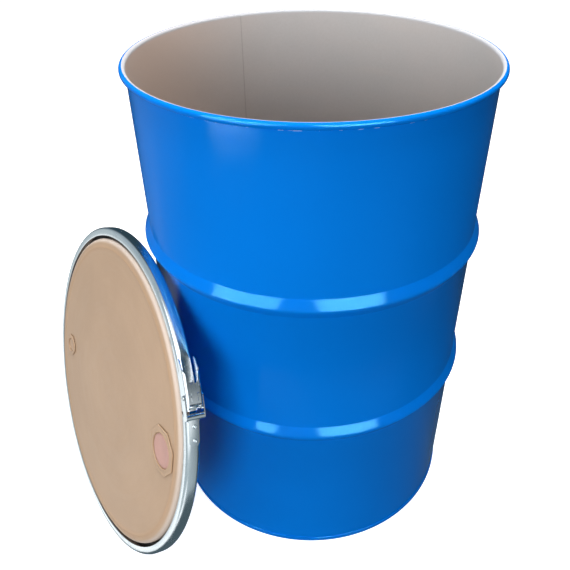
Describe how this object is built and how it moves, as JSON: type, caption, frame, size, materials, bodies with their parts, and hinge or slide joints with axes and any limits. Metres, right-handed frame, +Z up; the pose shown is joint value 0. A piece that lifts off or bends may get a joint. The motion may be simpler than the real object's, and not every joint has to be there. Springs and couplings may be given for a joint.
{
  "type": "open-head steel drum",
  "caption": "Open-head steel drum with rolling hoops, lacquered inside, its bunged lid in a lever-lock closing ring leaning against the side.",
  "frame": {"origin": "on the drum's axis at floor level, below the middle of the bottom head", "axes": "+Z up along the drum's axis; the lid leans on the -X side; the closing latch and the large bung are on the lid's -Y side"},
  "size_m": [0.7849, 0.679, 0.87],
  "materials": {
    "blue_paint": "gloss",
    "beige_lacquer": "satin",
    "plug_lacquer": "satin",
    "zinc_steel": "galvanised",
    "black_rubber": "matt"
  },
  "bodies": {
    "drum": {"body_shell": "blue_paint", "bottom_head": "blue_paint", "bottom_seam_compound": "black_rubber"},
    "lid": {"lid_panel": "beige_lacquer", "lid_gasket": "black_rubber", "large_bung_flange": "beige_lacquer", "large_flange_gasket": "black_rubber", "small_bung_flange": "beige_lacquer", "small_flange_gasket": "black_rubber"},
    "large_plug_seat": {"large_plug_gasket": "black_rubber"},
    "large_plug": {"large_bung_plug": "plug_lacquer"},
    "small_plug_seat": {"small_plug_gasket": "black_rubber"},
    "small_plug": {"small_bung_plug": "plug_lacquer"},
    "ring_a": {"ring_half_a": "zinc_steel", "pivot_bracket": "zinc_steel", "pivot_rivet_1": "zinc_steel", "pivot_rivet_2": "zinc_steel", "lever_pin": "zinc_steel"},
    "ring_b": {"ring_half_b": "zinc_steel", "catch_bracket": "zinc_steel", "catch_rivet_1": "zinc_steel", "catch_rivet_2": "zinc_steel"},
    "latch_lever": {"lever": "zinc_steel", "link_pin": "zinc_steel"},
    "latch_link": {"link": "zinc_steel"}
  },
  "joints": [
    {"name": "lid_lift", "type": "slide", "parent": "drum", "child": "lid", "axis": [-0.6, 0, 0.8], "range_m": [0, 0.5]},
    {"name": "ring_spread_a", "type": "hinge", "parent": "lid", "child": "ring_a", "pos_m": [-0.43415, 0.3346, 0.15064], "axis": [-0.9586, 0, 0.2849], "range_deg": [0, 1.14]},
    {"name": "ring_spread_b", "type": "hinge", "parent": "lid", "child": "ring_b", "pos_m": [-0.43415, 0.3346, 0.15064], "axis": [0.9586, 0, -0.2849], "range_deg": [0, 1.14]},
    {"name": "lever_swing", "type": "hinge", "parent": "ring_a", "child": "latch_lever", "pos_m": [-0.34475, -0.18971, 0.45148], "axis": [0.9586, 0, -0.2849], "range_deg": [0, 150]},
    {"name": "link_swing", "type": "hinge", "parent": "latch_lever", "child": "latch_link", "pos_m": [-0.34143, -0.18, 0.46264], "axis": [-0.9586, 0, 0.2849], "range_deg": [0, 124.82]},
    {"name": "large_plug_travel", "type": "slide", "parent": "lid", "child": "large_plug_seat", "axis": [0.9586, 0, -0.2849], "range_m": [0, 0.01386]},
    {"name": "large_plug_turn", "type": "hinge", "parent": "large_plug_seat", "child": "large_plug", "pos_m": [-0.37952, -0.14483, 0.33447], "axis": [0.9586, 0, -0.2849], "range_deg": [0, 2160]},
    {"name": "small_plug_travel", "type": "slide", "parent": "lid", "child": "small_plug_seat", "axis": [0.9586, 0, -0.2849], "range_m": [0, 0.01089]},
    {"name": "small_plug_turn", "type": "hinge", "parent": "small_plug_seat", "child": "small_plug", "pos_m": [-0.40288, 0.29763, 0.25586], "axis": [0.9586, 0, -0.2849], "range_deg": [0, 2160]}
  ],
  "couplings": [
    {"joint": "ring_spread_a", "follows": "lever_swing", "ratio": 0.0076003},
    {"joint": "ring_spread_b", "follows": "lever_swing", "ratio": 0.0076003},
    {"joint": "link_swing", "follows": "lever_swing", "ratio": 0.83204},
    {"joint": "large_plug_travel", "follows": "large_plug_turn", "m_per_rad": 0.00036749},
    {"joint": "small_plug_travel", "follows": "small_plug_turn", "m_per_rad": 0.00028871}
  ]
}
